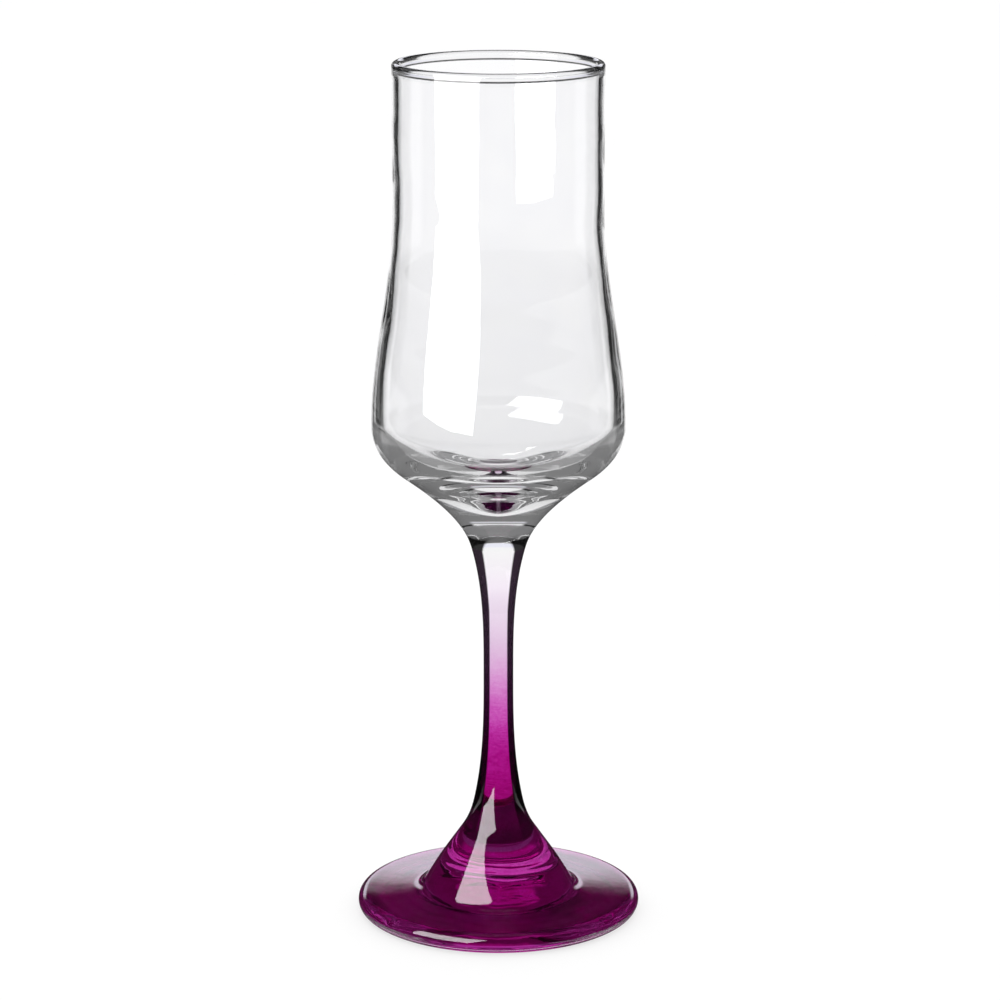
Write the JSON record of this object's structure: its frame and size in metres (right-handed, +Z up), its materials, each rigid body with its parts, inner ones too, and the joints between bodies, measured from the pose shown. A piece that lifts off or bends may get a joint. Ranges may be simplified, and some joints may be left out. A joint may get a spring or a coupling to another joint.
{
  "type": "champagne glass",
  "caption": "Tall tulip-shaped champagne flute of clear glass, with a heavy solid base to the bowl, a slim stem and a round magenta-tinted foot, the colour fading up the stem.",
  "frame": {"origin": "centre of the foot's resting ring, on the glass's axis", "axes": "+Z up along the axis of the glass, from the foot to the rim; X and Y are free by symmetry"},
  "size_m": [0.0728, 0.0728, 0.22],
  "materials": {
    "clear_glass": "clear soda-lime glass, blown and fire-polished",
    "fading_glass": "clear drawn glass under a sprayed translucent magenta coat that fades out towards the bowl",
    "magenta_glass": "clear pressed glass under a full sprayed translucent magenta coat"
  },
  "bodies": {
    "root": {"bowl": "clear_glass", "stem": "fading_glass", "foot": "magenta_glass"}
  },
  "joints": []
}
